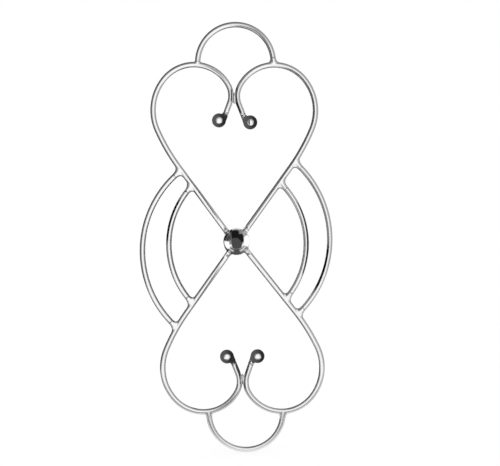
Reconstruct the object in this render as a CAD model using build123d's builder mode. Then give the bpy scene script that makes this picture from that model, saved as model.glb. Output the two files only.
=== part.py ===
"""Railing panel of polished rod: two hearts tip to tip on a hollow ball, with arches and side bars."""

import os
from math import cos, radians, sin

from build123d import *

os.makedirs("parts", exist_ok=True)

# Stock, in millimetres
rod_diameter = 10.0
centre_ball_diameter = 49.0
centre_ball_wall = 1.5
end_ball_diameter = 25.0

# Bends of every scroll, outwards from the centre ball: radius in millimetres, angle in degrees
bow_radius = 343.0
bow_angle = 12.7
shoulder_radius = 86.4
shoulder_angle = 64.5
lobe_radius = 68.2
lobe_angle = 111.6
curl_radius = 38.1
curl_angle = 48.2

# Each scroll as it was made by hand: lean of its leg from upright, how far outside
# the ball's centre the leg points, and the straight tail that ends at its ball
upper_left_lean_angle = 34.8
upper_right_lean_angle = 37.2
lower_left_lean_angle = 37.0
lower_right_lean_angle = 36.8
upper_left_aim = 3.7
upper_right_aim = 1.8
lower_left_aim = -0.8
lower_right_aim = 3.8
upper_left_tail = 34.7
upper_right_tail = 37.2
lower_left_tail = 36.4
lower_right_tail = 38.9
seam_shift = 3.6

# Side bars: bend radius, reach of the bar's middle from the centre and its height there
outer_bar_radius = 183.5
inner_bar_radius = 151.5
outer_left_reach = 168.0
outer_right_reach = 166.0
inner_left_reach = 120.6
inner_right_reach = 123.9
outer_left_height = -18.4
outer_right_height = 2.9
inner_left_height = -6.6
inner_right_height = -4.3

# Arches: half circles whose centres lie a little above the crowns and right of the seam
arch_radius = 66.5
arch_lift = 3.0
arch_shift = 4.1

# Welds, ground and polished: a rod stops square at its root gap, and weld metal fills the rest
root_gap = 3.0
foot_weld_reach = 9.0
foot_weld_step = 1.5
foot_weld_rise = 0.75
foot_weld_tuck = 0.3
leg_weld_reach = 4.5
leg_weld_root = 4.9
tail_weld_reach = 3.0
lobe_gap = 1.2
lobe_weld_length = 10.0
lobe_weld_width = 7.0
lobe_weld_depth = 6.0
lobe_weld_shift = 4.0
end_ball_inset = 0.5

rod_radius = rod_diameter / 2
centre_ball_radius = centre_ball_diameter / 2
end_ball_radius = end_ball_diameter / 2
end_ball_offset = end_ball_radius - rod_radius - end_ball_inset
end_ball_crook = (end_ball_radius**2 - (end_ball_offset - rod_radius) ** 2) ** 0.5 + root_gap
scroll_bends = (
    (bow_radius, bow_angle),
    (shoulder_radius, shoulder_angle),
    (lobe_radius, lobe_angle),
    (curl_radius, curl_angle),
)
LEFT, RIGHT = -1, 1
LOWER, UPPER = -1, 1
UPRIGHT = 90


def leg_run(side, lean, aim):
    """Straight run of a leg that brings its lobe to the seam, half the weld gap short of it."""
    heading = lean
    across = aim * cos(radians(lean))
    for radius, angle in scroll_bends:
        turned = max(heading - angle, -180)
        across += radius * (cos(radians(turned)) - cos(radians(heading)))
        heading = turned
    beside_seam = side * seam_shift + rod_radius + lobe_gap / 2
    return (beside_seam - across) / sin(radians(lean))


class Scroll:
    """Centreline of one scroll: its leg, then its lobe with the curl and the tail."""

    def __init__(self, name, side, level, lean, aim, tail):
        self.name = name
        out, up = sin(radians(lean)), cos(radians(lean))
        run = leg_run(side, lean, aim)
        butt = centre_ball_radius + root_gap
        turn = side * level
        with BuildLine(Plane.XZ) as leg:
            straight = Line(
                (side * (aim * up + butt * out), level * (butt * up - aim * out)),
                (side * (aim * up + run * out), level * (run * up - aim * out)),
            )
            bow = JernArc(straight @ 1, straight % 1, bow_radius, turn * bow_angle)
        with BuildLine(Plane.XZ) as lobe:
            shoulder = JernArc(bow @ 1, bow % 1, shoulder_radius, turn * shoulder_angle)
            crown = JernArc(shoulder @ 1, shoulder % 1, lobe_radius, turn * lobe_angle)
            curl = JernArc(crown @ 1, crown % 1, curl_radius, turn * curl_angle)
            end = Line(curl @ 1, curl @ 1 + (curl % 1) * (tail - end_ball_crook))
        self.leg = leg.wire()
        self.lobe = lobe.wire()
        self.path = Wire([*leg.edges(), *lobe.edges()])
        self.out = straight % 0
        self.down = end % 1
        self.inward = self.down.rotate(Axis.Y, -turn * UPRIGHT)
        self.ball = end @ 1 + self.down * end_ball_crook + self.inward * end_ball_offset
        box = self.path.bounding_box()
        self.crown = box.max.Z if level == UPPER else -box.min.Z


def meeting(line, other):
    """Point of a centreline where it crosses another, or comes nearest to it."""
    _, point, _ = line.distance_to_with_closest_points(other)
    return point


def rod_along(path):
    """Round rod swept along a centreline."""
    with BuildPart() as rod:
        with BuildSketch(Plane(origin=path @ 0, z_dir=path % 0)):
            Circle(rod_radius)
        sweep(path=path)
    return rod.part


def finished(name, part):
    """Label one piece and write it out."""
    part.label = name
    export_step(part, f"parts/{name}.step")


def make_end_ball(scroll):
    """Solid ball beside the tail's end, its outer side nearly flush with the rod's."""
    with BuildPart() as ball:
        with Locations(scroll.ball):
            Sphere(end_ball_radius)
    finished(f"end_ball_{scroll.name}", ball.part)


def make_centre_ball():
    """Hollow ball of two pressed halves, welded together and ground to one skin."""
    with BuildPart() as ball:
        Sphere(centre_ball_radius)
        Sphere(centre_ball_radius - centre_ball_wall, mode=Mode.SUBTRACT)
    finished("centre_ball", ball.part)


class Bar:
    """Bent bar between two scrolls, cut square at each end the root gap short of the scroll."""

    def __init__(self, name, path, first, second):
        self.name = name
        cut = (rod_radius + root_gap) / path.length
        self.path = path.trim(cut, 1 - cut)
        self.feet = (
            (path @ 0, self.path @ 0, self.path % 0, first),
            (path @ 1, self.path @ 1, (self.path % 1) * -1, second),
        )


def side_bar(name, side, radius, reach, height, pair):
    """Arc from the leg of the lower scroll round to the leg of the upper one."""
    lower, upper = pair
    with BuildLine(Plane.XZ) as bow:
        CenterArc((side * (reach - radius), height), radius, -side * UPRIGHT, 2 * UPRIGHT)
    bottom = meeting(bow.wire(), lower.leg)
    top = meeting(bow.wire(), upper.leg)
    with BuildLine(Plane.XZ) as path:
        ThreePointArc(bottom, (side * reach, height), top)
    return Bar(name, path.wire(), lower, upper)


def arch_bar(name, level, left, right):
    """Half circle on straight feet that stand on the crowns of a heart's two lobes."""
    middle = seam_shift + arch_shift
    height = level * ((left.crown + right.crown) / 2 + arch_lift)
    crown = (middle, height + level * arch_radius)
    springings = []
    feet = []
    for side, scroll in ((LEFT, left), (RIGHT, right)):
        springing = (middle + side * arch_radius, height)
        with BuildLine(Plane.XZ) as plumb:
            Line((springing[0], crown[1]), (springing[0], height - level * lobe_radius))
        springings.append(springing)
        feet.append(meeting(plumb.wire(), scroll.lobe))
    with BuildLine(Plane.XZ) as path:
        Line(feet[0], springings[0])
        ThreePointArc(springings[0], crown, springings[1])
        Line(springings[1], feet[1])
    return Bar(name, path.wire(), left, right)


def foot_weld(foot, end, way, scroll):
    """Weld under a bar's square end: it flares on to the scroll rod to both sides of the foot."""
    along = scroll.path.tangent_at(foot)
    face = Vector(0, 1, 0).cross(along)
    if face.dot(way) < 0:
        face = face * -1
    across = along - way * along.dot(way)
    with BuildPart() as weld:
        with BuildSketch(Plane(origin=foot, x_dir=along, z_dir=face)):
            Ellipse(rod_radius + foot_weld_reach, rod_radius - foot_weld_tuck)
        with BuildSketch(Plane(origin=foot + way * (rod_radius + foot_weld_rise), x_dir=across, z_dir=way)):
            Ellipse(rod_radius + foot_weld_step, rod_radius - foot_weld_tuck / 2)
        with BuildSketch(Plane(origin=end, x_dir=across, z_dir=way)):
            Circle(rod_radius)
        loft()
        add(rod_along(scroll.path), mode=Mode.SUBTRACT)
    return weld.part


def leg_weld(scroll):
    """Weld under a leg's square end: it flares on to the centre ball."""
    rise = root_gap + leg_weld_root
    base = scroll.path @ 0 - scroll.out * rise
    with BuildPart() as weld:
        with Locations(Plane(origin=base, z_dir=scroll.out)):
            Cone(
                rod_radius + leg_weld_reach,
                rod_radius,
                rise,
                align=(Align.CENTER, Align.CENTER, Align.MIN),
            )
        Sphere(centre_ball_radius, mode=Mode.SUBTRACT)
    return weld.part


def tail_weld(scroll):
    """Weld under a tail's square end: it widens towards the ball and runs out along its outer side."""
    end = scroll.path @ 1
    root = end + scroll.down * (end_ball_crook - end_ball_inset)
    with BuildPart() as weld:
        with BuildSketch(Plane(origin=end, x_dir=scroll.inward, z_dir=scroll.down)):
            Circle(rod_radius)
        root += scroll.inward * tail_weld_reach
        with BuildSketch(Plane(origin=root, x_dir=scroll.inward, z_dir=scroll.down)):
            Circle(rod_radius + tail_weld_reach)
        loft()
        with Locations(scroll.ball):
            Sphere(end_ball_radius, mode=Mode.SUBTRACT)
    return weld.part


def lobe_weld(level, left, right):
    """Bead in the notch where a heart's two lobes meet, on the side of the arch."""
    with BuildLine(Plane.XZ) as seam:
        Line((seam_shift, 0), (seam_shift, level * left.crown))
    touch = (meeting(left.lobe, seam.wire()).Z + meeting(right.lobe, seam.wire()).Z) / 2
    with BuildPart() as weld:
        with BuildSketch(Plane.XZ):
            with Locations((seam_shift, touch + level * lobe_weld_shift)):
                SlotOverall(lobe_weld_length, lobe_weld_width, rotation=UPRIGHT)
        extrude(amount=lobe_weld_depth / 2, both=True)
        add(rod_along(left.path), mode=Mode.SUBTRACT)
        add(rod_along(right.path), mode=Mode.SUBTRACT)
    return weld.part


def group(name, welds):
    """Write out one kind of weld as a set of separate beads."""
    with BuildPart() as beads:
        for weld in welds:
            add(weld)
    finished(name, beads.part)


upper_left = Scroll("upper_left", LEFT, UPPER, upper_left_lean_angle, upper_left_aim, upper_left_tail)
upper_right = Scroll("upper_right", RIGHT, UPPER, upper_right_lean_angle, upper_right_aim, upper_right_tail)
lower_left = Scroll("lower_left", LEFT, LOWER, lower_left_lean_angle, lower_left_aim, lower_left_tail)
lower_right = Scroll("lower_right", RIGHT, LOWER, lower_right_lean_angle, lower_right_aim, lower_right_tail)
scrolls = (upper_left, upper_right, lower_left, lower_right)
left_pair = (lower_left, upper_left)
right_pair = (lower_right, upper_right)
side_bars = (
    side_bar("outer_bar_left", LEFT, outer_bar_radius, outer_left_reach, outer_left_height, left_pair),
    side_bar("outer_bar_right", RIGHT, outer_bar_radius, outer_right_reach, outer_right_height, right_pair),
    side_bar("inner_bar_left", LEFT, inner_bar_radius, inner_left_reach, inner_left_height, left_pair),
    side_bar("inner_bar_right", RIGHT, inner_bar_radius, inner_right_reach, inner_right_height, right_pair),
)
arches = (
    arch_bar("top_arch", UPPER, upper_left, upper_right),
    arch_bar("bottom_arch", LOWER, lower_left, lower_right),
)

make_centre_ball()
for scroll in scrolls:
    finished(f"scroll_{scroll.name}", rod_along(scroll.path))
    make_end_ball(scroll)
for bar in side_bars + arches:
    finished(bar.name, rod_along(bar.path))
group("side_bar_welds", [foot_weld(*foot) for bar in side_bars for foot in bar.feet])
group("arch_welds", [foot_weld(*foot) for bar in arches for foot in bar.feet])
group("centre_ball_welds", [leg_weld(scroll) for scroll in scrolls])
group("end_ball_welds", [tail_weld(scroll) for scroll in scrolls])
group("lobe_welds", [lobe_weld(UPPER, upper_left, upper_right), lobe_weld(LOWER, lower_left, lower_right)])
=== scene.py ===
from math import cos, exp, pi, radians, sin

import bmesh
import bpy
from bpy.props import FloatProperty, FloatVectorProperty, IntProperty, PointerProperty
from mathutils import Matrix, Vector


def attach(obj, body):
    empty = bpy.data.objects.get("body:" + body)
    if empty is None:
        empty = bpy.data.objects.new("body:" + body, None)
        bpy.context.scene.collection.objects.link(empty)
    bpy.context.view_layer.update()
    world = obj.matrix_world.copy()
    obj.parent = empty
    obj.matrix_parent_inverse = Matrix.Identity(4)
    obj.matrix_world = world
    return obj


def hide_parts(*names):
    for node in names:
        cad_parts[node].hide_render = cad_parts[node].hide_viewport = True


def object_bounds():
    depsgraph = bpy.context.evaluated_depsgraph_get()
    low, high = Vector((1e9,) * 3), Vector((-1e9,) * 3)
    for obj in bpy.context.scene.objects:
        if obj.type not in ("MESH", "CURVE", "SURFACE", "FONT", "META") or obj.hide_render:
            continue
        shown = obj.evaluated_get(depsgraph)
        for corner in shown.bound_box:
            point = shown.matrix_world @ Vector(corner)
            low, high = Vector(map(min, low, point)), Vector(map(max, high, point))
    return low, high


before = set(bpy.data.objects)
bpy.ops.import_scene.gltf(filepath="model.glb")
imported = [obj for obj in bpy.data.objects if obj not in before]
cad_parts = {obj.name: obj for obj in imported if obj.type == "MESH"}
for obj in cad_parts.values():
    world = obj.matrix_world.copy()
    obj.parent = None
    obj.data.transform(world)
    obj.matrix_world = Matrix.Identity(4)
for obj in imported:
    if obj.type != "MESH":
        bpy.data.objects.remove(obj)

bl_info = {
    "name": "Railing panel of polished rod",
    "version": (1, 0, 0),
    "blender": (4, 5, 0),
    "location": "3D View > Sidebar > Railing panel",
    "description": "Two hearts of polished round rod on a ball, with arches and side bars",
    "category": "Object",
}

CAD_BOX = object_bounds()
LEFT, RIGHT = -1, 1
LOWER, UPPER = -1, 1
OUTWARDS = Vector((0, -1, 0))
UPRIGHT = Vector((0, 0, 1))

# Bends of every scroll, outwards from the centre ball: radius in metres, angle in degrees
SCROLL_BENDS = ((0.343, 12.7), (0.0864, 64.5), (0.0682, 111.6), (0.0381, 48.2))
# Side, level, lean of the leg from upright, how far outside the ball's centre it points, and its tail
SCROLLS = {
    "upper_left": (LEFT, UPPER, 34.8, 0.0037, 0.0347),
    "upper_right": (RIGHT, UPPER, 37.2, 0.0018, 0.0372),
    "lower_left": (LEFT, LOWER, 37.0, -0.0008, 0.0364),
    "lower_right": (RIGHT, LOWER, 36.8, 0.0038, 0.0389),
}
# Side, bend radius, reach of the middle from the centre and its height there
SIDE_BARS = {
    "outer_bar_left": (LEFT, 0.1835, 0.1680, -0.0184),
    "outer_bar_right": (RIGHT, 0.1835, 0.1660, 0.0029),
    "inner_bar_left": (LEFT, 0.1515, 0.1206, -0.0066),
    "inner_bar_right": (RIGHT, 0.1515, 0.1239, -0.0043),
}
ARCHES = {"top_arch": UPPER, "bottom_arch": LOWER}
SEAM_SHIFT = 0.0036
LOBE_GAP = 0.0012
END_BALL_INSET = 0.0005

# What polishing took off rods and centre ball
SKIN = 0.000013
# Length of a facet along a bend and along a straight run, and the tightest radius that is taken for it
BEND_FACET, STRAIGHT_FACET, TIGHTEST = 0.0022, 0.006, 0.03
BALL_STEPS = 72
BEAD_SEGMENTS, BEAD_RINGS = 32, 20
# Steps along a run and halvings of one step, in the search for a crossing, and steps down to a weld's corner
SEARCH_STEPS, HALVINGS, CORNER_STEPS = 24, 30, 60
# Depth of the centre ball's ground seam and its half width as an angle
SEAM_DEPTH, SEAM_ANGLE = 0.00006, 0.02

# Rings of a weld's skin, how proud of its rod it starts, how far its rim sinks and how deep its root goes
WELD_RINGS, WELD_PROUD, WELD_TUCK, WELD_ROOT = 9, 0.00003, 0.00012, 0.45
# How far up its rod each kind of weld begins
SIDE_BAR_CLIMB, ARCH_CLIMB, LEG_CLIMB, TAIL_CLIMB = 0.008, 0.005, 0.0004, 0.0015
# Half width, depth and length of the beads in the notches, and how much they widen towards the open end
LOBE_BEAD = (0.0034, 0.0029, 0.0095)
LOBE_BEAD_TAPER = 0.25

# How far from a weld its heat tint fades
HEAT_REACH = 0.014
# Fineness of the smears and of the hairlines that polishing left, and a hairline's height beside a smear
SMEARS, HAIRLINES, HAIRLINE_HEIGHT = 90, 1400, 0.02
# Strength of the heat tint, unevenness of the polish and height of its relief
POLISH = {
    "Polished rod": (0.5, 0.08, 0.00006),
    "Polished ball": (0.3, 0.04, 0.00005),
    "Polished weld": (0.8, 0.12, 0.0001),
}

# Studio: floor, lamp in front, camera, and sides of everything round
FLOOR_RADIUS, FLOOR_ROUGHNESS = 1.6, 0.7
FLOOR_GLOW, FLOOR_GLOW_SHARE = 1.03, 0.8
SOFTBOX_PLACE, SOFTBOX_SIDE = (0.1, -1.6, 0.5), 1.6
LENS, SENSOR = 72, 36
LENS_SHIFT = (0.027, 0.0166)
ROUND_SIDES = 96

# Lowest point that cloth may reach, and how far above it the cloth counts as hanging
LOWEST, HEM = CAD_BOX[0][2] + 0.0005, 0.002
# The curtain's ends, front and back, and where the part that lies on the floor thins out near the panel
CURTAIN_RADIUS = 0.95
CURTAIN_REACH = (-3.6, 1.2)
CLEAR_FLOOR = (-0.04, 0.12)
CLEAR_FRONT = (-0.42, -0.12)
# Collars round the end balls: ends, length of the thin front, place right of the ball, greys left to right
COLLAR_RADIUS = 0.0155
COLLAR_REACH = (-0.021, 0.012)
COLLAR_FADE = 0.006
COLLAR_SHIFT = 0.0015
COLLAR_SHADES = (0.10, 0.025)
# Cards that the steel reflects: name, middle, facing, width, height, grey and fade of the edges
FLAGS = (
    ("flag_ball_middle", (0.0012, -0.028, 0), (0, 1, 0), 0.037, 0.053, 0.07, 0.005),
    ("flag_ball_below", (0.0, -0.0145, -0.028), (0, 0, 1), 0.025, 0.036, 0.08, 0.006),
    ("flag_ball_top", (-0.0028, -0.0197, 0.0173), (0, 0.75, -0.66), 0.023, 0.026, 0.01, 0.005),
    ("flag_ball_right", (0.0099, -0.0249, 0.0089), (-0.44, 0.77, -0.41), 0.022, 0.028, 0.012, 0.005),
    ("flag_ball_left", (-0.0207, -0.0215, 0.0121), (0.80, 0.36, -0.48), 0.028, 0.023, 0.07, 0.009),
    ("card_ball_right", (0.0285, -0.015, 0.001), (-1, 0, 0), 0.033, 0.036, 1.1, 0.005),
    ("card_ball_left", (-0.0285, -0.0175, -0.011), (1, 0, 0), 0.028, 0.032, 1.1, 0.006),
    ("card_ball_top", (0, 0.001, 0.0285), (0, 0, -1), 0.022, 0.017, 0.8, 0.003),
    ("flag_crevice_upper_right", (0.0, -0.012, 0.248), (1, 0, 0), 0.060, 0.070, 0.02, 0.012),
    ("flag_crevice_upper_left", (0.0, -0.012, 0.258), (-1, 0, 0), 0.060, 0.030, 0.02, 0.008),
    ("flag_crevice_lower_right", (0.0, -0.012, -0.240), (1, 0, 0), 0.060, 0.070, 0.02, 0.012),
    ("flag_crevice_lower_left", (0.0, -0.012, -0.235), (-1, 0, 0), 0.060, 0.060, 0.04, 0.012),
    ("flag_right_bars_upper", (-0.01, -0.42, 0.09), (1, 0, 0), 0.78, 0.36, 0.14, 0.10),
    ("flag_outer_right", (0.140, -0.030, -0.050), (0.97, 0, -0.25), 0.090, 0.100, 0.0, 0.020),
    ("flag_outer_right_upper", (0.132, -0.024, 0.052), (0.944, 0, 0.33), 0.075, 0.100, 0.24, 0.015),
    ("flag_inner_right", (0.137, -0.012, 0.003), (-1, 0, 0), 0.050, 0.165, 0.05, 0.012),
    ("flag_inner_left", (-0.130, -0.024, 0.045), (0.944, 0, -0.33), 0.075, 0.105, 0.0, 0.015),
    ("flag_top_arch", (0.052, -0.05, 0.368), (0, 1, 0), 0.050, 0.070, 0.35, 0.020),
    ("flag_upper_right", (-0.01, -0.22, 0.25), (1, 0, 0), 0.40, 0.36, 0.04, 0.12),
    ("flag_for_left_bars", (-0.030, -0.038, 0.0), (-1, 0, 0), 0.060, 0.34, 0.02, 0.015),
    ("flag_behind_left_bars", (-0.030, 0.130, -0.010), (-1, 0, 0), 0.240, 0.320, 0.01, 0.030),
    ("flag_lobe_upper", (-0.032, -0.05, 0.300), (0, 1, 0), 0.060, 0.060, 0.32, 0.02),
    ("flag_lobe_lower", (-0.030, -0.05, -0.292), (0, 1, 0), 0.070, 0.050, 0.22, 0.02),
)


class RailingSizes(bpy.types.PropertyGroup):
    """Sizes that a maker of this panel would change."""

    rod_diameter: FloatProperty(
        name="Rod", description="Diameter of the round rod", default=0.010, min=0.004, unit="LENGTH"
    )
    centre_ball_diameter: FloatProperty(
        name="Centre ball", description="Diameter of the hollow ball", default=0.049, min=0.02, unit="LENGTH"
    )
    end_ball_diameter: FloatProperty(
        name="End balls", description="Diameter of the tails' balls", default=0.025, min=0.012, unit="LENGTH"
    )
    arch_radius: FloatProperty(
        name="Arch radius", description="Bend radius of both arches", default=0.0665, min=0.03, unit="LENGTH"
    )
    arch_lift: FloatProperty(
        name="Arch lift", description="Height of its centre over the crowns", default=0.003, unit="LENGTH"
    )
    arch_shift: FloatProperty(
        name="Arch shift", description="Place of the arches right of the seam", default=0.0041, unit="LENGTH"
    )
    root_gap: FloatProperty(
        name="Root gap", description="Gap that every weld fills", default=0.003, min=0.001, unit="LENGTH"
    )
    side_bar_flare: FloatProperty(
        name="Side bar flare", description="Reach of its welds", default=0.0085, min=0.001, unit="LENGTH"
    )
    arch_flare: FloatProperty(
        name="Arch flare", description="Reach of its welds", default=0.0066, min=0.001, unit="LENGTH"
    )
    leg_flare: FloatProperty(
        name="Leg flare", description="Reach on the centre ball", default=0.0026, min=0.001, unit="LENGTH"
    )
    tail_flare: FloatProperty(
        name="Tail flare", description="Reach on an end ball", default=0.0036, min=0.001, unit="LENGTH"
    )
    rod_sides: IntProperty(
        name="Sides", description="Sides of the round rod's section", default=48, min=12
    )


class RailingFinish(bpy.types.PropertyGroup):
    """Colours and polish of the steel."""

    steel: FloatVectorProperty(
        name="Steel", description="Colour of the polished steel", default=(0.93, 0.93, 0.94), subtype="COLOR"
    )
    tint: FloatVectorProperty(
        name="Heat tint", description="Colour that welding left", default=(0.66, 0.70, 0.86), subtype="COLOR"
    )
    rod_polish: FloatProperty(
        name="Rod polish", description="Roughness of the rods", default=0.22, min=0, max=1, subtype="FACTOR"
    )
    ball_polish: FloatProperty(
        name="Ball polish", description="Roughness of the balls", default=0.05, min=0, max=1, subtype="FACTOR"
    )
    weld_polish: FloatProperty(
        name="Weld polish", description="Roughness of the welds", default=0.20, min=0, max=1, subtype="FACTOR"
    )


class RailingStudio(bpy.types.PropertyGroup):
    """Camera and light."""

    camera_distance: FloatProperty(
        name="Camera distance", description="From the ball's centre", default=1.78, min=0.5, unit="LENGTH"
    )
    camera_elevation: FloatProperty(
        name="Camera elevation", description="Angle over the level", default=radians(3.74), subtype="ANGLE"
    )
    camera_roll: FloatProperty(
        name="Camera roll", description="Turn about its own axis", default=radians(-1.73), subtype="ANGLE"
    )
    surround: FloatProperty(
        name="Surround", description="Brightness of the white studio", default=1.0, min=0.0
    )
    softbox: FloatProperty(
        name="Softbox", description="Brightness of the lamp in front", default=0.10, min=0.0
    )
    curtain_clear: FloatProperty(
        name="Curtain's thin end", description="Where it begins in front", default=-3.0, unit="LENGTH"
    )
    curtain_full: FloatProperty(
        name="Curtain's dense start", description="Where it is fully dark", default=0.5, unit="LENGTH"
    )
    curtain_left: FloatProperty(
        name="Curtain left", description="Grey of the curtain on the left", default=0.02, min=0.0
    )
    curtain_right: FloatProperty(
        name="Curtain right", description="Grey of the curtain on the right", default=0.34, min=0.0
    )
    floor: FloatVectorProperty(
        name="Floor", description="Colour of the floor", default=(0.92, 0.92, 0.92), subtype="COLOR"
    )


def sizes():
    """Sizes set in the sidebar."""
    return bpy.context.scene.railing_sizes


def finish():
    """Colours and polish set in the sidebar."""
    return bpy.context.scene.railing_finish


def studio():
    """Camera and light set in the sidebar."""
    return bpy.context.scene.railing_studio


class Run:
    """A straight run or a single bend of a centreline, in the panel's plane.

    A positive turn is to the left, seen from the front.
    """

    def __init__(self, start, way, length, turn=0.0):
        self.start, self.way, self.length, self.turn = start, way, length, turn
        if turn:
            self.radius = length / abs(turn)
            quarter = pi / 2 if turn > 0 else -pi / 2
            self.centre = start + Matrix.Rotation(quarter, 3, OUTWARDS) @ way * self.radius

    def at(self, share):
        """Point and way at a share of the run's length."""
        if not self.turn:
            return self.start + self.way * (self.length * share), self.way
        turned = Matrix.Rotation(self.turn * share, 3, OUTWARDS)
        return self.centre + turned @ (self.start - self.centre), turned @ self.way

    def part(self, first, last):
        """The stretch between two shares of its length."""
        start, way = self.at(first)
        return Run(start, way, self.length * (last - first), self.turn * (last - first))

    def nearest(self, point):
        """Nearest point of the centreline, which is taken to go on past both ends."""
        flat = Vector((point.x, 0, point.z))
        if not self.turn:
            return self.start + self.way * (flat - self.start).dot(self.way)
        return self.centre + (flat - self.centre).normalized() * self.radius


def bend(after, radius, angle):
    """Bend that goes on from the end of a run."""
    start, way = after.at(1)
    return Run(start, way, radius * abs(angle), angle)


def leg_length(side, lean, aim):
    """Length from the ball's centre to the first bend that brings the lobe beside the seam."""
    size = sizes()
    heading, across = lean, aim * cos(lean)
    for radius, angle in SCROLL_BENDS:
        turned = max(heading - radians(angle), -pi)
        across += radius * (cos(turned) - cos(heading))
        heading = turned
    return (side * SEAM_SHIFT + size.rod_diameter / 2 + LOBE_GAP / 2 - across) / sin(lean)


def end_ball_place():
    """How far the end ball's centre lies beside the tail, and the root gap's start before it."""
    size = sizes()
    radius, rod = size.end_ball_diameter / 2, size.rod_diameter / 2
    beside = radius - rod - END_BALL_INSET
    before = (radius**2 - (beside - rod) ** 2) ** 0.5 + size.root_gap
    return beside, before


def scroll_runs(name):
    """Centreline of a scroll: its leg, the bow of the leg, shoulder, crown, curl and tail."""
    side, level, lean, aim, tail = SCROLLS[name]
    lean = radians(lean)
    size = sizes()
    way = Vector((side * sin(lean), 0, level * cos(lean)))
    foot = Vector((side * aim * cos(lean), 0, -level * aim * sin(lean)))
    butt = size.centre_ball_diameter / 2 + size.root_gap
    runs = [Run(foot + way * butt, way, leg_length(side, lean, aim) - butt)]
    for radius, angle in SCROLL_BENDS:
        runs.append(bend(runs[-1], radius, side * level * radians(angle)))
    point, way = runs[-1].at(1)
    runs.append(Run(point, way, tail - end_ball_place()[1]))
    return runs


def end_ball_centre(name):
    """Centre of the ball on a scroll's tail."""
    side, level = SCROLLS[name][:2]
    beside, before = end_ball_place()
    point, way = scroll_runs(name)[-1].at(1)
    inward = Matrix.Rotation(side * level * pi / 2, 3, OUTWARDS) @ way
    return point + way * before + inward * beside


def crossing(runs, measure):
    """The run and the share of it where a measure of the point changes sign."""
    for run in runs:
        for step in range(SEARCH_STEPS):
            low, high = step / SEARCH_STEPS, (step + 1) / SEARCH_STEPS
            start_sign = measure(run.at(low)[0]) > 0
            if (measure(run.at(high)[0]) > 0) == start_sign:
                continue
            for _ in range(HALVINGS):
                middle = (low + high) / 2
                if (measure(run.at(middle)[0]) > 0) == start_sign:
                    low = middle
                else:
                    high = middle
            return run, low
    raise RuntimeError("two centrelines that should meet do not")


def trimmed(runs):
    """The runs of a bar, cut square at both ends the root gap short of the scrolls."""
    cut = sizes().rod_diameter / 2 + sizes().root_gap
    runs = list(runs)
    runs[0] = runs[0].part(cut / runs[0].length, 1)
    runs[-1] = runs[-1].part(0, 1 - cut / runs[-1].length)
    return runs


def side_bar(name):
    """Runs of a side bar from the lower leg to the upper one, and the run that each end stands on."""
    side, radius, reach, height = SIDE_BARS[name]
    centre = Vector((side * (reach - radius), 0, height))
    hand = "left" if side == LEFT else "right"
    feet, stands_on = [], []
    for level in ("lower", "upper"):
        leg = scroll_runs(f"{level}_{hand}")[:2]
        run, share = crossing(leg, lambda point: (point - centre).length - radius)
        feet.append(run.at(share)[0])
        stands_on.append(run)
    angle = side * (feet[0] - centre).angle(feet[1] - centre)
    way = Matrix.Rotation(side * pi / 2, 3, OUTWARDS) @ (feet[0] - centre).normalized()
    return trimmed([Run(feet[0], way, radius * abs(angle), angle)]), stands_on


def arch(name):
    """Runs of an arch from its left foot to its right one, and the run that each foot stands on."""
    level = ARCHES[name]
    size = sizes()
    word = "upper" if level == UPPER else "lower"
    lobes = [scroll_runs(f"{word}_{hand}")[2:] for hand in ("left", "right")]
    crowns = [level * lobe[1].centre.z + lobe[1].radius for lobe in lobes]
    height = level * (sum(crowns) / 2 + size.arch_lift)
    middle = SEAM_SHIFT + size.arch_shift
    springings, feet, stands_on = [], [], []
    for side, lobe in zip((LEFT, RIGHT), lobes):
        springing = Vector((middle + side * size.arch_radius, 0, height))
        run, share = crossing(lobe, lambda point: point.x - springing.x)
        springings.append(springing)
        feet.append(run.at(share)[0])
        stands_on.append(run)
    rise = Run(feet[0], UPRIGHT * level, abs(height - feet[0].z))
    crown = Run(springings[0], UPRIGHT * level, size.arch_radius * pi, -level * pi)
    fall = Run(springings[1], -UPRIGHT * level, abs(height - feet[1].z))
    cut = size.rod_diameter / 2 + size.root_gap
    runs = []
    for run, first, last in ((rise, cut, 0.0), (crown, 0.0, 0.0), (fall, 0.0, cut)):
        left = run.length - first - last
        if left > 0:
            runs.append(run.part(first / run.length, 1 - last / run.length))
        elif first:
            over = -left / crown.length
            crown = crown.part(over, 1)
        else:
            over = -left / runs[-1].length
            runs[-1] = runs[-1].part(0, 1 - over)
    return runs, stands_on


def place_matrix(point, way):
    """Place of a section whose own upright axis lies along a way."""
    across = OUTWARDS.cross(way)
    return Matrix.Translation(point) @ Matrix((across, OUTWARDS, -way)).transposed().to_4x4()


def drawn_rod(bm, runs, radius, sides):
    """Round rod along its runs: a circle drawn out along the straight runs and spun round each bend."""
    start, way = runs[0].at(0)
    made = bmesh.ops.create_circle(bm, cap_ends=False, segments=sides, radius=radius)
    bmesh.ops.transform(bm, matrix=place_matrix(start, way), verts=made["verts"])
    first = list(bm.edges)
    last = first
    for run in runs:
        if run.turn:
            steps = max(6, round(abs(run.turn) * max(run.radius, TIGHTEST) / BEND_FACET))
            spun = bmesh.ops.spin(
                bm, geom=last, cent=run.centre, axis=OUTWARDS, dvec=(0, 0, 0), angle=run.turn, steps=steps
            )
            last = [item for item in spun["geom_last"] if isinstance(item, bmesh.types.BMEdge)]
        else:
            steps = max(1, round(run.length / STRAIGHT_FACET))
            for _ in range(steps):
                drawn = bmesh.ops.extrude_edge_only(bm, edges=last)["geom"]
                last = [item for item in drawn if isinstance(item, bmesh.types.BMEdge)]
                verts = [item for item in drawn if isinstance(item, bmesh.types.BMVert)]
                bmesh.ops.translate(bm, verts=verts, vec=run.way * (run.length / steps))
    for loop in (first, last):
        bmesh.ops.contextual_create(bm, geom=loop)


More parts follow.
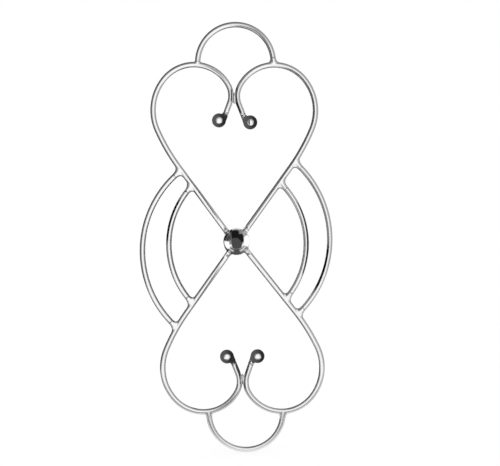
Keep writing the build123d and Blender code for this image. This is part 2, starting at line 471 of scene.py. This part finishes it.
def weld_round(bm, end, way, core, radius, flare):
    """Ground weld round a rod's square end: concave from the rod's skin on to what it stands on.

    core gives the nearest point of the middle of what it stands on, and radius the size of that.
    """
    size = sizes()
    rod = size.rod_diameter / 2
    made = bmesh.ops.create_circle(bm, cap_ends=False, segments=size.rod_sides, radius=rod + WELD_PROUD)
    bmesh.ops.transform(bm, matrix=place_matrix(end, way), verts=made["verts"])
    top_edges = list({edge for vert in made["verts"] for edge in vert.link_edges})
    last = top_edges
    profiles = {}
    for vert in made["verts"]:
        top = vert.co.copy()
        corner, left = top.copy(), (top - core(top)).length - radius
        for _ in range(CORNER_STEPS):
            lower = corner - way * left
            lower_left = (lower - core(lower)).length - radius
            if lower_left >= left:
                break
            corner, left = lower, lower_left
        normal = (corner - core(corner)).normalized()
        aside = (top - end).normalized()
        landed = corner + (aside - normal * aside.dot(normal)) * flare
        middle = core(landed)
        landed = middle + (landed - middle).normalized() * (radius - WELD_TUCK)
        profiles[vert] = (top, corner, landed)
    verts = {vert: vert for vert in made["verts"]}
    for ring in range(WELD_RINGS + 2):
        drawn = bmesh.ops.extrude_edge_only(bm, edges=last)["geom"]
        last = [item for item in drawn if isinstance(item, bmesh.types.BMEdge)]
        new = [item for item in drawn if isinstance(item, bmesh.types.BMVert)]
        above = {}
        for vert in new:
            for edge in vert.link_edges:
                other = edge.other_vert(vert)
                if other in verts:
                    above[vert] = verts[other]
        for vert in new:
            top, corner, landed = profiles[above[vert]]
            if ring <= WELD_RINGS:
                share = (ring + 1) / (WELD_RINGS + 1)
                vert.co = top * (1 - share) ** 2 + corner * (2 * share * (1 - share)) + landed * share**2
            else:
                vert.co = core(landed).lerp(landed, WELD_ROOT)
        verts = above
    for loop in (top_edges, last):
        bmesh.ops.contextual_create(bm, geom=loop)


def smooth_sides(bm):
    """Smooth shading on everything but the flat ends."""
    for face in bm.faces:
        face.smooth = len(face.verts) <= 4


def spun_ball(bm, centre, radius, seam):
    """Ball turned about the line to the viewer: half a profile with its ground seam, spun right round."""
    across = Vector((1, 0, 0))
    last = bm.verts.new(centre + OUTWARDS * radius)
    edges = []
    for step in range(1, BALL_STEPS + 1):
        angle = pi * step / BALL_STEPS
        depth = seam * exp(-(((angle - pi / 2) / SEAM_ANGLE) ** 2))
        new = bm.verts.new(centre + (OUTWARDS * cos(angle) + across * sin(angle)) * (radius - depth))
        edges.append(bm.edges.new((last, new)))
        last = new
    bmesh.ops.spin(
        bm,
        geom=edges,
        cent=centre,
        axis=OUTWARDS,
        dvec=(0, 0, 0),
        angle=2 * pi,
        steps=2 * BALL_STEPS,
        use_merge=True,
    )
    bmesh.ops.remove_doubles(bm, verts=bm.verts, dist=1e-6)


def made_piece(name, bm, material, node):
    """Turns a bmesh into a piece that stands for a CAD node."""
    bmesh.ops.recalc_face_normals(bm, faces=bm.faces)
    mesh = bpy.data.meshes.new(name)
    bm.to_mesh(mesh)
    bm.free()
    piece = bpy.data.objects.new(name, mesh)
    bpy.context.scene.collection.objects.link(piece)
    mesh.materials.append(material)
    mark_heat(mesh)
    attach(piece, "root")
    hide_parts(node)


def rod_piece(name, runs, node):
    """Piece of polished rod along its runs."""
    size = sizes()
    bm = bmesh.new()
    drawn_rod(bm, runs, size.rod_diameter / 2 - SKIN, size.rod_sides)
    smooth_sides(bm)
    steel = steel_material("Polished rod", finish().rod_polish)
    made_piece(f"rod_{name}", bm, steel, node)


def ball_piece(name, centre, radius, seam, node):
    """Piece of polished ball."""
    bm = bmesh.new()
    spun_ball(bm, centre, radius, seam)
    smooth_sides(bm)
    steel = steel_material("Polished ball", finish().ball_polish)
    made_piece(f"ball_{name}", bm, steel, node)


def weld_piece(name, bm, node):
    """Piece of ground weld metal."""
    smooth_sides(bm)
    steel = steel_material("Polished weld", finish().weld_polish)
    made_piece(f"welds_{name}", bm, steel, node)


def weld_points():
    """Places of all welds, for the tint that their heat left."""
    rods = [side_bar(name)[0] for name in SIDE_BARS]
    rods += [arch(name)[0] for name in ARCHES]
    rods += [scroll_runs(name) for name in SCROLLS]
    return [run.at(share)[0] for runs in rods for run, share in ((runs[0], 0), (runs[-1], 1))]


def mark_heat(mesh):
    """Stores how near each point of a piece lies to a weld."""
    points = weld_points()
    heat = mesh.attributes.new("heat", "FLOAT", "POINT")
    values = []
    for vert in mesh.vertices:
        distance = min((vert.co - point).length for point in points)
        values.append(exp(-((distance / HEAT_REACH) ** 2)))
    heat.data.foreach_set("value", values)


def math_node(nodes, links, operation, *values):
    """Output of a math node whose inputs are given as sockets or numbers."""
    node = nodes.new("ShaderNodeMath")
    node.operation = operation
    for given, value in zip(node.inputs, values):
        if isinstance(value, (int, float)):
            given.default_value = value
        else:
            links.new(value, given)
    return node.outputs[0]


def noise(nodes, links, place, scale, detail):
    """Noise over the object's own coordinates."""
    node = nodes.new("ShaderNodeTexNoise")
    node.inputs["Scale"].default_value = scale
    node.inputs["Detail"].default_value = detail
    links.new(place, node.inputs["Vector"])
    return node.outputs["Fac"]


def polish_group():
    """Node group of hand-polished steel: uneven polish, fine hairlines and heat tint."""
    name = "Hand polish"
    if name in bpy.data.node_groups:
        return bpy.data.node_groups[name]
    group = bpy.data.node_groups.new(name, "ShaderNodeTree")
    for label, kind, in_out in (
        ("Steel", "NodeSocketColor", "INPUT"),
        ("Tint", "NodeSocketColor", "INPUT"),
        ("Tint strength", "NodeSocketFloat", "INPUT"),
        ("Roughness", "NodeSocketFloat", "INPUT"),
        ("Unevenness", "NodeSocketFloat", "INPUT"),
        ("Colour", "NodeSocketColor", "OUTPUT"),
        ("Roughness", "NodeSocketFloat", "OUTPUT"),
        ("Height", "NodeSocketFloat", "OUTPUT"),
    ):
        group.interface.new_socket(name=label, socket_type=kind, in_out=in_out)
    nodes, links = group.nodes, group.links
    given = nodes.new("NodeGroupInput").outputs
    put = nodes.new("NodeGroupOutput").inputs
    place = nodes.new("ShaderNodeTexCoord").outputs["Object"]
    smear = noise(nodes, links, place, SMEARS, 3)
    hairs = noise(nodes, links, place, HAIRLINES, 2)
    heat = nodes.new("ShaderNodeAttribute")
    heat.attribute_name = "heat"
    patchy = math_node(nodes, links, "MULTIPLY", heat.outputs["Fac"], smear)
    colour = nodes.new("ShaderNodeMix")
    colour.data_type = "RGBA"
    links.new(math_node(nodes, links, "MULTIPLY", patchy, given["Tint strength"]), colour.inputs["Factor"])
    links.new(given["Steel"], colour.inputs[6])
    links.new(given["Tint"], colour.inputs[7])
    links.new(colour.outputs[2], put["Colour"])
    centred = math_node(nodes, links, "SUBTRACT", smear, 0.5)
    uneven = math_node(nodes, links, "MULTIPLY_ADD", centred, given["Unevenness"], given["Roughness"])
    links.new(uneven, put["Roughness"])
    links.new(math_node(nodes, links, "MULTIPLY_ADD", hairs, HAIRLINE_HEIGHT, smear), put["Height"])
    return group


def steel_material(name, roughness):
    """Polished steel with its own polish."""
    if name in bpy.data.materials:
        return bpy.data.materials[name]
    look = finish()
    tint_strength, unevenness, relief_height = POLISH[name]
    material = bpy.data.materials.new(name)
    material.use_nodes = True
    nodes, links = material.node_tree.nodes, material.node_tree.links
    shader = nodes["Principled BSDF"]
    shader.inputs["Metallic"].default_value = 1
    polish = nodes.new("ShaderNodeGroup")
    polish.node_tree = polish_group()
    polish.inputs["Steel"].default_value = (*look.steel, 1)
    polish.inputs["Tint"].default_value = (*look.tint, 1)
    polish.inputs["Tint strength"].default_value = tint_strength
    polish.inputs["Roughness"].default_value = roughness
    polish.inputs["Unevenness"].default_value = unevenness
    links.new(polish.outputs["Colour"], shader.inputs["Base Color"])
    links.new(polish.outputs["Roughness"], shader.inputs["Roughness"])
    relief = nodes.new("ShaderNodeBump")
    relief.inputs["Strength"].default_value = 1.0
    relief.inputs["Distance"].default_value = relief_height
    links.new(polish.outputs["Height"], relief.inputs["Height"])
    links.new(relief.outputs["Normal"], shader.inputs["Normal"])
    return material


class RAILING_OT_scrolls(bpy.types.Operator):
    """Draw the four scrolls"""

    bl_idname = "railing.scrolls"
    bl_label = "Scrolls"

    def execute(self, context):
        for name in SCROLLS:
            rod_piece(name, scroll_runs(name), f"scroll_{name}")
        return {"FINISHED"}


class RAILING_OT_side_bars(bpy.types.Operator):
    """Draw the four side bars"""

    bl_idname = "railing.side_bars"
    bl_label = "Side bars"

    def execute(self, context):
        for name in SIDE_BARS:
            rod_piece(name, side_bar(name)[0], name)
        return {"FINISHED"}


class RAILING_OT_arches(bpy.types.Operator):
    """Draw both arches"""

    bl_idname = "railing.arches"
    bl_label = "Arches"

    def execute(self, context):
        for name in ARCHES:
            rod_piece(name, arch(name)[0], name)
        return {"FINISHED"}


class RAILING_OT_centre_ball(bpy.types.Operator):
    """Make the hollow centre ball of two halves, whose ground seam lies in the panel's plane"""

    bl_idname = "railing.centre_ball"
    bl_label = "Centre ball"

    def execute(self, context):
        ball_piece("centre", Vector(), sizes().centre_ball_diameter / 2 - SKIN, SEAM_DEPTH, "centre_ball")
        return {"FINISHED"}


class RAILING_OT_end_balls(bpy.types.Operator):
    """Make the four balls on the tails"""

    bl_idname = "railing.end_balls"
    bl_label = "End balls"

    def execute(self, context):
        for name in SCROLLS:
            ball_piece(name, end_ball_centre(name), sizes().end_ball_diameter / 2, 0.0, f"end_ball_{name}")
        return {"FINISHED"}


class RAILING_OT_bar_welds(bpy.types.Operator):
    """Lay the ground welds round the feet of the side bars and the arches"""

    bl_idname = "railing.bar_welds"
    bl_label = "Bar and arch welds"

    def execute(self, context):
        size = sizes()
        side_bars = [side_bar(name) for name in SIDE_BARS]
        self.lay("side_bars", "side_bar_welds", side_bars, size.side_bar_flare, SIDE_BAR_CLIMB)
        arches = [arch(name) for name in ARCHES]
        self.lay("arches", "arch_welds", arches, size.arch_flare, ARCH_CLIMB)
        return {"FINISHED"}

    def lay(self, name, node, bars, flare, climb):
        """One piece with a weld round both feet of every bar."""
        bm = bmesh.new()
        for runs, stands_on in bars:
            first, first_way = runs[0].at(climb / runs[0].length)
            last, last_way = runs[-1].at(1 - climb / runs[-1].length)
            for end, way, run in ((first, first_way, stands_on[0]), (last, -last_way, stands_on[1])):
                weld_round(bm, end, way, run.nearest, sizes().rod_diameter / 2, flare)
        weld_piece(name, bm, node)


class RAILING_OT_ball_welds(bpy.types.Operator):
    """Lay the ground welds on the centre ball and the end balls"""

    bl_idname = "railing.ball_welds"
    bl_label = "Ball welds"

    def execute(self, context):
        size = sizes()
        bm = bmesh.new()
        for name in SCROLLS:
            leg = scroll_runs(name)[0]
            end, way = leg.at(LEG_CLIMB / leg.length)
            weld_round(bm, end, way, lambda point: Vector(), size.centre_ball_diameter / 2, size.leg_flare)
        weld_piece("centre_ball", bm, "centre_ball_welds")
        bm = bmesh.new()
        for name in SCROLLS:
            tail = scroll_runs(name)[-1]
            end, way = tail.at(1 - TAIL_CLIMB / tail.length)
            centre = end_ball_centre(name)
            weld_round(bm, end, -way, lambda point: centre, size.end_ball_diameter / 2, size.tail_flare)
        weld_piece("end_balls", bm, "end_ball_welds")
        return {"FINISHED"}


class RAILING_OT_lobe_welds(bpy.types.Operator):
    """Lay the two beads in the notches between the lobes"""

    bl_idname = "railing.lobe_welds"
    bl_label = "Lobe welds"

    def execute(self, context):
        half_width, half_depth, half_length = LOBE_BEAD
        bm = bmesh.new()
        for level, word in ((UPPER, "upper"), (LOWER, "lower")):
            curls = [scroll_runs(f"{word}_{hand}")[3] for hand in ("left", "right")]
            touch = sum(curl.centre.z for curl in curls) / 2
            made = bmesh.ops.create_uvsphere(bm, u_segments=BEAD_SEGMENTS, v_segments=BEAD_RINGS, radius=1.0)
            for vert in made["verts"]:
                width = half_width / (1 - LOBE_BEAD_TAPER * level * vert.co.z)
                vert.co = Vector((vert.co.x * width, vert.co.y * half_depth, vert.co.z * half_length))
                vert.co += Vector((SEAM_SHIFT, 0, touch + level * half_length))
        weld_piece("lobes", bm, "lobe_welds")
        return {"FINISHED"}


def softbox(name, place, side, brightness):
    """Soft square lamp of an even brightness, turned to the panel and kept out of the camera's view."""
    light = bpy.data.lights.new(name, "AREA")
    light.shape = "SQUARE"
    light.size = side
    light.energy = brightness * side * side * pi
    lamp = bpy.data.objects.new(name, light)
    bpy.context.scene.collection.objects.link(lamp)
    lamp.location = place
    lamp.rotation_euler = (-Vector(place)).to_track_quat("-Z", "Y").to_euler()
    lamp.visible_camera = False


def smooth_step(nodes, links, value, start, end):
    """Value that rises smoothly from 0 at the start to 1 at the end."""
    node = nodes.new("ShaderNodeMapRange")
    node.interpolation_type = "SMOOTHSTEP"
    node.inputs["From Min"].default_value = start
    node.inputs["From Max"].default_value = end
    links.new(value, node.inputs["Value"])
    return node.outputs[0]


def card_cover(nodes, links, width, height, fade):
    """Cover of a card whose edges fade out over the given length."""
    apart = nodes.new("ShaderNodeSeparateXYZ")
    links.new(nodes.new("ShaderNodeUVMap").outputs["UV"], apart.inputs[0])
    inset = [math_node(nodes, links, "PINGPONG", apart.outputs[axis], 0.5) for axis in ("X", "Y")]
    fades = fade / width, fade / height
    edges = [smooth_step(nodes, links, side, 0.0, end) for side, end in zip(inset, fades)]
    return math_node(nodes, links, "MULTIPLY", *edges)


def cloth_material(name, shade, make_cover):
    """Studio cloth that glows in its grey on the front, and is clear behind and where it thins out."""
    material = bpy.data.materials.new(name)
    material.use_nodes = True
    nodes, links = material.node_tree.nodes, material.node_tree.links
    glow = nodes.new("ShaderNodeEmission")
    if callable(shade):
        links.new(shade(nodes, links), glow.inputs["Strength"])
    else:
        glow.inputs["Strength"].default_value = shade
    back = nodes.new("ShaderNodeNewGeometry").outputs["Backfacing"]
    front = math_node(nodes, links, "SUBTRACT", 1.0, back)
    mix = nodes.new("ShaderNodeMixShader")
    links.new(math_node(nodes, links, "MULTIPLY", front, make_cover(nodes, links)), mix.inputs["Fac"])
    links.new(nodes.new("ShaderNodeBsdfTransparent").outputs[0], mix.inputs[1])
    links.new(glow.outputs[0], mix.inputs[2])
    links.new(mix.outputs[0], nodes["Material Output"].inputs["Surface"])
    return material


def placed(name, bm, material):
    """Studio object of a finished bmesh."""
    mesh = bpy.data.meshes.new(name)
    bm.to_mesh(mesh)
    bm.free()
    mesh.materials.append(material)
    thing = bpy.data.objects.new(name, mesh)
    bpy.context.scene.collection.objects.link(thing)
    return thing


def seen_in_steel_only(name, bm, material):
    """Studio object that the polished steel reflects and nothing else shows."""
    thing = placed(name, bm, material)
    thing.visible_camera = False
    thing.visible_diffuse = False
    thing.visible_shadow = False
    thing.visible_transmission = False


def flag(name, place, facing, width, height, shade, fade):
    """Card of one grey with faded edges."""
    bm = bmesh.new()
    bm.loops.layers.uv.new("UVMap")
    bmesh.ops.create_grid(bm, x_segments=1, y_segments=1, size=0.5, calc_uvs=True)
    turn = Vector(facing).to_track_quat("Z", "Y").to_matrix().to_4x4()
    bmesh.ops.scale(bm, vec=(width, height, 1), verts=bm.verts)
    bmesh.ops.transform(bm, matrix=Matrix.Translation(place) @ turn, verts=bm.verts)

    def cover(nodes, links):
        return card_cover(nodes, links, width, height, fade)

    seen_in_steel_only(name, bm, cloth_material(name, shade, cover))


def tube(name, centre, radius, front, back, shade, make_cover):
    """Round cloth about a line towards the camera, seen from inside."""
    bm = bmesh.new()
    middle = Vector((centre[0], (front + back) / 2, centre[2]))
    place = Matrix.Translation(middle) @ Matrix.Rotation(pi / 2, 4, "X")
    bmesh.ops.create_cone(
        bm, segments=ROUND_SIDES, radius1=radius, radius2=radius, depth=back - front, matrix=place
    )
    bmesh.ops.reverse_faces(bm, faces=bm.faces)
    for vert in bm.verts:
        vert.co.z = max(vert.co.z, LOWEST)
    seen_in_steel_only(name, bm, cloth_material(name, shade, make_cover))


def place_along(nodes, links, axis):
    """The point's own place along one axis."""
    apart = nodes.new("ShaderNodeSeparateXYZ")
    links.new(nodes.new("ShaderNodeTexCoord").outputs["Object"], apart.inputs[0])
    return apart.outputs[axis]


def curtain():
    """Dark curtain round the whole panel, thinner towards the front and paler on the right."""
    look = studio()

    def cover(nodes, links):
        along = place_along(nodes, links, "Y")
        dense = smooth_step(nodes, links, along, look.curtain_clear, look.curtain_full)
        hangs = math_node(nodes, links, "GREATER_THAN", place_along(nodes, links, "Z"), LOWEST + HEM)
        apart = smooth_step(nodes, links, math_node(nodes, links, "ABSOLUTE", along, 0.0), *CLEAR_FLOOR)
        lies = math_node(nodes, links, "MULTIPLY", apart, smooth_step(nodes, links, along, *CLEAR_FRONT))
        return math_node(nodes, links, "MULTIPLY", dense, math_node(nodes, links, "MAXIMUM", hangs, lies))

    def shade(nodes, links):
        sideways = place_along(nodes, links, "X")
        across = smooth_step(nodes, links, sideways, -CURTAIN_RADIUS / 2, CURTAIN_RADIUS)
        rise = math_node(nodes, links, "MULTIPLY", across, look.curtain_right - look.curtain_left)
        return math_node(nodes, links, "ADD", rise, look.curtain_left)

    tube("curtain", (0, 0, 0), CURTAIN_RADIUS, *CURTAIN_REACH, shade, cover)


def collar(name):
    """Small dark collar round one end ball."""
    centre = end_ball_centre(name) + Vector((COLLAR_SHIFT, 0, 0))

    def cover(nodes, links):
        front = COLLAR_REACH[0]
        return smooth_step(nodes, links, place_along(nodes, links, "Y"), front, front + COLLAR_FADE)

    def shade(nodes, links):
        ends = centre.x - COLLAR_RADIUS, centre.x + COLLAR_RADIUS
        across = smooth_step(nodes, links, place_along(nodes, links, "X"), *ends)
        fall = math_node(nodes, links, "MULTIPLY", across, COLLAR_SHADES[1] - COLLAR_SHADES[0])
        return math_node(nodes, links, "ADD", fall, COLLAR_SHADES[0])

    tube(f"collar_{name}", centre, COLLAR_RADIUS, *COLLAR_REACH, shade, cover)


class RAILING_OT_studio(bpy.types.Operator):
    """Set up the floor, the soft light and the camera"""

    bl_idname = "railing.studio"
    bl_label = "Studio"

    def execute(self, context):
        self.floor()
        self.surround()
        self.lamps()
        self.camera()
        return {"FINISHED"}

    def floor(self):
        """Pale floor that also glows a little, so that it stays white behind the panel."""
        bm = bmesh.new()
        bmesh.ops.create_circle(bm, cap_ends=True, segments=ROUND_SIDES, radius=FLOOR_RADIUS)
        bmesh.ops.translate(bm, verts=bm.verts, vec=(0, 0, CAD_BOX[0][2]))
        material = bpy.data.materials.new("Pale floor")
        material.use_nodes = True
        nodes, links = material.node_tree.nodes, material.node_tree.links
        shader = nodes["Principled BSDF"]
        shader.inputs["Base Color"].default_value = (*studio().floor, 1)
        shader.inputs["Roughness"].default_value = FLOOR_ROUGHNESS
        shader.inputs["Specular IOR Level"].default_value = 0.0
        glow = nodes.new("ShaderNodeEmission")
        glow.inputs["Strength"].default_value = FLOOR_GLOW
        path = nodes.new("ShaderNodeLightPath")
        seen = math_node(nodes, links, "ADD", path.outputs["Is Camera Ray"], path.outputs["Is Glossy Ray"])
        seen = math_node(nodes, links, "ADD", seen, path.outputs["Is Transmission Ray"])
        mix = nodes.new("ShaderNodeMixShader")
        links.new(math_node(nodes, links, "MULTIPLY", seen, FLOOR_GLOW_SHARE), mix.inputs["Fac"])
        links.new(shader.outputs[0], mix.inputs[1])
        links.new(glow.outputs[0], mix.inputs[2])
        links.new(mix.outputs[0], nodes["Material Output"].inputs["Surface"])
        placed("studio_floor", bm, material)

    def surround(self):
        """White all round."""
        world = bpy.data.worlds.new("Studio")
        bpy.context.scene.world = world
        world.use_nodes = True
        backdrop = world.node_tree.nodes["Background"]
        backdrop.inputs["Color"].default_value = (1, 1, 1, 1)
        backdrop.inputs["Strength"].default_value = studio().surround

    def lamps(self):
        """Lamp in front, and the dark cloth and cards that the steel reflects."""
        softbox("Front softbox", SOFTBOX_PLACE, SOFTBOX_SIDE, studio().softbox)
        curtain()
        for name in SCROLLS:
            collar(name)
        for card in FLAGS:
            flag(*card)

    def camera(self):
        """Camera in front of the centre ball, a little above it."""
        look = studio()
        scene = bpy.context.scene
        lens = bpy.data.cameras.new("Camera")
        lens.sensor_width = SENSOR
        lens.lens = LENS
        lens.shift_x, lens.shift_y = LENS_SHIFT
        camera = bpy.data.objects.new("Camera", lens)
        scene.collection.objects.link(camera)
        reach = Matrix.Rotation(-look.camera_elevation, 3, "X") @ Vector((0, -look.camera_distance, 0))
        facing = (-reach).to_track_quat("-Z", "Y").to_matrix()
        roll = Matrix.Rotation(look.camera_roll, 3, "Z")
        camera.matrix_world = Matrix.Translation(reach) @ (facing @ roll).to_4x4()
        scene.camera = camera
        scene.view_settings.view_transform = "Standard"


class VIEW3D_PT_railing(bpy.types.Panel):
    """Lists the steps of the railing panel"""

    bl_label = "Railing panel"
    bl_space_type = "VIEW_3D"
    bl_region_type = "UI"
    bl_category = "Railing panel"

    def draw(self, context):
        for group in (sizes(), finish(), studio()):
            box = self.layout.box()
            for prop in group.bl_rna.properties:
                if prop.identifier not in ("rna_type", "name"):
                    box.prop(group, prop.identifier)
        for step in STEPS:
            self.layout.operator(step.bl_idname)


STEPS = (
    RAILING_OT_scrolls,
    RAILING_OT_side_bars,
    RAILING_OT_arches,
    RAILING_OT_centre_ball,
    RAILING_OT_end_balls,
    RAILING_OT_bar_welds,
    RAILING_OT_ball_welds,
    RAILING_OT_lobe_welds,
    RAILING_OT_studio,
)
GROUPS = (RailingSizes, RailingFinish, RailingStudio)


def register():
    for kind in (*GROUPS, *STEPS, VIEW3D_PT_railing):
        bpy.utils.register_class(kind)
    bpy.types.Scene.railing_sizes = PointerProperty(type=RailingSizes)
    bpy.types.Scene.railing_finish = PointerProperty(type=RailingFinish)
    bpy.types.Scene.railing_studio = PointerProperty(type=RailingStudio)


def unregister():
    del bpy.types.Scene.railing_studio
    del bpy.types.Scene.railing_finish
    del bpy.types.Scene.railing_sizes
    for kind in reversed((*GROUPS, *STEPS, VIEW3D_PT_railing)):
        bpy.utils.unregister_class(kind)


def main():
    """Registers the panel's classes and runs every step of the panel."""
    register()
    for step in STEPS:
        area, word = step.bl_idname.split(".")
        getattr(getattr(bpy.ops, area), word)()


if __name__ == "__main__":
    main()
